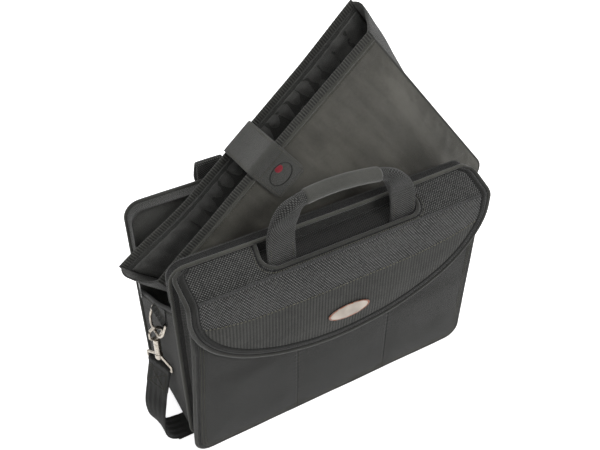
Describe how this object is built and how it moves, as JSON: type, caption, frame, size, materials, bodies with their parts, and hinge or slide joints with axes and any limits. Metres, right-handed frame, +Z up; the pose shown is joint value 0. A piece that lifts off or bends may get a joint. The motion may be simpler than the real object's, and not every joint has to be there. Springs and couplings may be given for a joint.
{
  "type": "laptop briefcase",
  "caption": "Soft briefcase with a curved flap, padded handles, a shoulder strap on snap hooks and a padded laptop sleeve pulled part-way out of it.",
  "frame": {"origin": "centre of the base, in the plane the bag stands on", "axes": "+Z up; the flap and front pocket face -Y; +X is to the right seen from the front"},
  "size_m": [0.5078, 0.2536, 0.4728],
  "materials": {
    "body_fabric": "dark grey ballistic nylon, matt",
    "flap_fabric": "coarse dark grey weave with pale flecks",
    "sleeve_fabric": "smooth dark grey nylon, slight sheen",
    "lining": "black nylon lining",
    "padding": "lining over air-cell foam",
    "binding": "ribbed grosgrain tape",
    "piping": "fabric-covered piping",
    "webbing": "woven webbing",
    "wrap": "smooth padded grip wrap",
    "hook_loop": "hook-and-loop tape",
    "board": "stiff fibre board",
    "steel": "polished nickel plate",
    "zip_metal": "dark nickel",
    "zip_tape": "woven zip tape with coil teeth",
    "badge": "pale satin enamel",
    "red_patch": "raised red disc",
    "slider_plastic": "moulded black nylon"
  },
  "bodies": {
    "bag": {"front_panel": "body_fabric", "front_pocket": "body_fabric", "front_piping": "piping", "front_gusset": "body_fabric", "front_top": "body_fabric", "middle_panel": "body_fabric", "middle_piping": "piping", "base_panel": "body_fabric", "base_board": "board", "main_gusset_left": "body_fabric", "main_gusset_right": "body_fabric", "mouth_bindings": "binding", "rear_panel": "body_fabric", "rear_piping": "piping", "rear_zip": "zip_tape", "middle_zip": "zip_tape", "organiser_panel": "lining", "flap_top": "flap_fabric", "slot_binding": "piping", "front_handle_anchors": "webbing", "rear_handle_anchors": "webbing", "ring_tabs": "webbing", "d_rings": "steel", "strap_loops": "steel", "strap_ends": "webbing", "shoulder_strap": "webbing", "pocket_loop_patches": "hook_loop", "pocket_zip": "zip_tape"},
    "flap": {"flap_panel": "flap_fabric", "flap_lining": "lining", "flap_binding": "binding", "badge_plate": "badge", "flap_hook_patches": "hook_loop"},
    "front_handle": {"front_handle_web": "webbing", "front_handle_wrap": "wrap"},
    "rear_handle": {"rear_handle_web": "webbing", "rear_handle_wrap": "wrap"},
    "sleeve": {"sleeve_front": "sleeve_fabric", "sleeve_back": "sleeve_fabric", "sleeve_gusset": "lining", "sleeve_front_pad": "padding", "sleeve_back_pad": "padding", "sleeve_bindings": "binding", "sleeve_tab_anchor": "sleeve_fabric", "sleeve_loop_patch": "hook_loop"},
    "sleeve_tab": {"sleeve_tab": "sleeve_fabric", "tab_badge": "red_patch", "tab_hook_patch": "hook_loop"},
    "left_hook": {"left_hook": "steel"},
    "left_gate": {"left_gate": "steel"},
    "right_hook": {"right_hook": "steel"},
    "right_gate": {"right_gate": "steel"},
    "strap_slider": {"strap_slider": "slider_plastic"},
    "left_zip_slider": {"left_zip_slider": "zip_metal"},
    "left_zip_puller": {"left_zip_puller": "zip_metal"},
    "right_zip_slider": {"right_zip_slider": "zip_metal"},
    "right_zip_puller": {"right_zip_puller": "zip_metal"},
    "pocket_zip_slider": {"pocket_zip_slider": "zip_metal", "pocket_zip_puller": "zip_metal"}
  },
  "joints": [
    {"name": "flap_hinge", "type": "hinge", "parent": "bag", "child": "flap", "pos_m": [0, -0.0875, 0.268], "axis": [-1, 0, 0], "range_deg": [0, 135]},
    {"name": "front_handle_hinge", "type": "hinge", "parent": "bag", "child": "front_handle", "pos_m": [0, -0.071, 0.272], "axis": [1, 0, 0], "range_deg": [-25, 38]},
    {"name": "rear_handle_hinge", "type": "hinge", "parent": "bag", "child": "rear_handle", "pos_m": [0, 0.10399, 0.30201], "axis": [1, 0, 0], "range_deg": [0, 160]},
    {"name": "sleeve_slide", "type": "slide", "parent": "bag", "child": "sleeve", "axis": [-0.6239, 0.0844, 0.7769], "range_m": [0, 0.45]},
    {"name": "sleeve_tab_hinge", "type": "hinge", "parent": "sleeve", "child": "sleeve_tab", "pos_m": [-0.06816, 0.06503, 0.3532], "axis": [-0.7815, -0.0674, -0.6202], "range_deg": [0, 100]},
    {"name": "left_hook_swivel", "type": "hinge", "parent": "bag", "child": "left_hook", "pos_m": [-0.22017, -0.002, 0.15638], "axis": [0, 0, 1], "range_deg": [-12, 12]},
    {"name": "right_hook_swivel", "type": "hinge", "parent": "bag", "child": "right_hook", "pos_m": [0.22017, -0.002, 0.13238], "axis": [0, 0, 1], "range_deg": [-12, 12]},
    {"name": "left_gate_hinge", "type": "hinge", "parent": "left_hook", "child": "left_gate", "pos_m": [-0.22763, -0.002, 0.15116], "axis": [0, 1, 0], "range_deg": [0, 20], "stiffness_Nm_per_rad": 0.03, "springref_deg": -11.46},
    {"name": "right_gate_hinge", "type": "hinge", "parent": "right_hook", "child": "right_gate", "pos_m": [0.22763, -0.002, 0.12716], "axis": [0, -1, 0], "range_deg": [0, 20], "stiffness_Nm_per_rad": 0.03, "springref_deg": -11.46},
    {"name": "strap_slider_slide", "type": "slide", "parent": "bag", "child": "strap_slider", "axis": [-0.2511, 0.0914, 0.9636], "range_m": [-0.004, 0.004]},
    {"name": "left_zip_slide", "type": "slide", "parent": "bag", "child": "left_zip_slider", "axis": [0, 0.0562, 0.9984], "range_m": [0, 0.082]},
    {"name": "right_zip_slide", "type": "slide", "parent": "bag", "child": "right_zip_slider", "axis": [0, 0.0562, 0.9984], "range_m": [0, 0.082]},
    {"name": "left_puller_hinge", "type": "hinge", "parent": "left_zip_slider", "child": "left_zip_puller", "pos_m": [-0.2102, 0.07045, 0.1742], "axis": [0, 0.9984, -0.0562], "range_deg": [0, 100]},
    {"name": "right_puller_hinge", "type": "hinge", "parent": "right_zip_slider", "child": "right_zip_puller", "pos_m": [0.2102, 0.07045, 0.1742], "axis": [0, -0.9984, 0.0562], "range_deg": [0, 100]},
    {"name": "pocket_zip_slide", "type": "slide", "parent": "bag", "child": "pocket_zip_slider", "axis": [1, 0, 0], "range_m": [0, 0.315]}
  ]
}
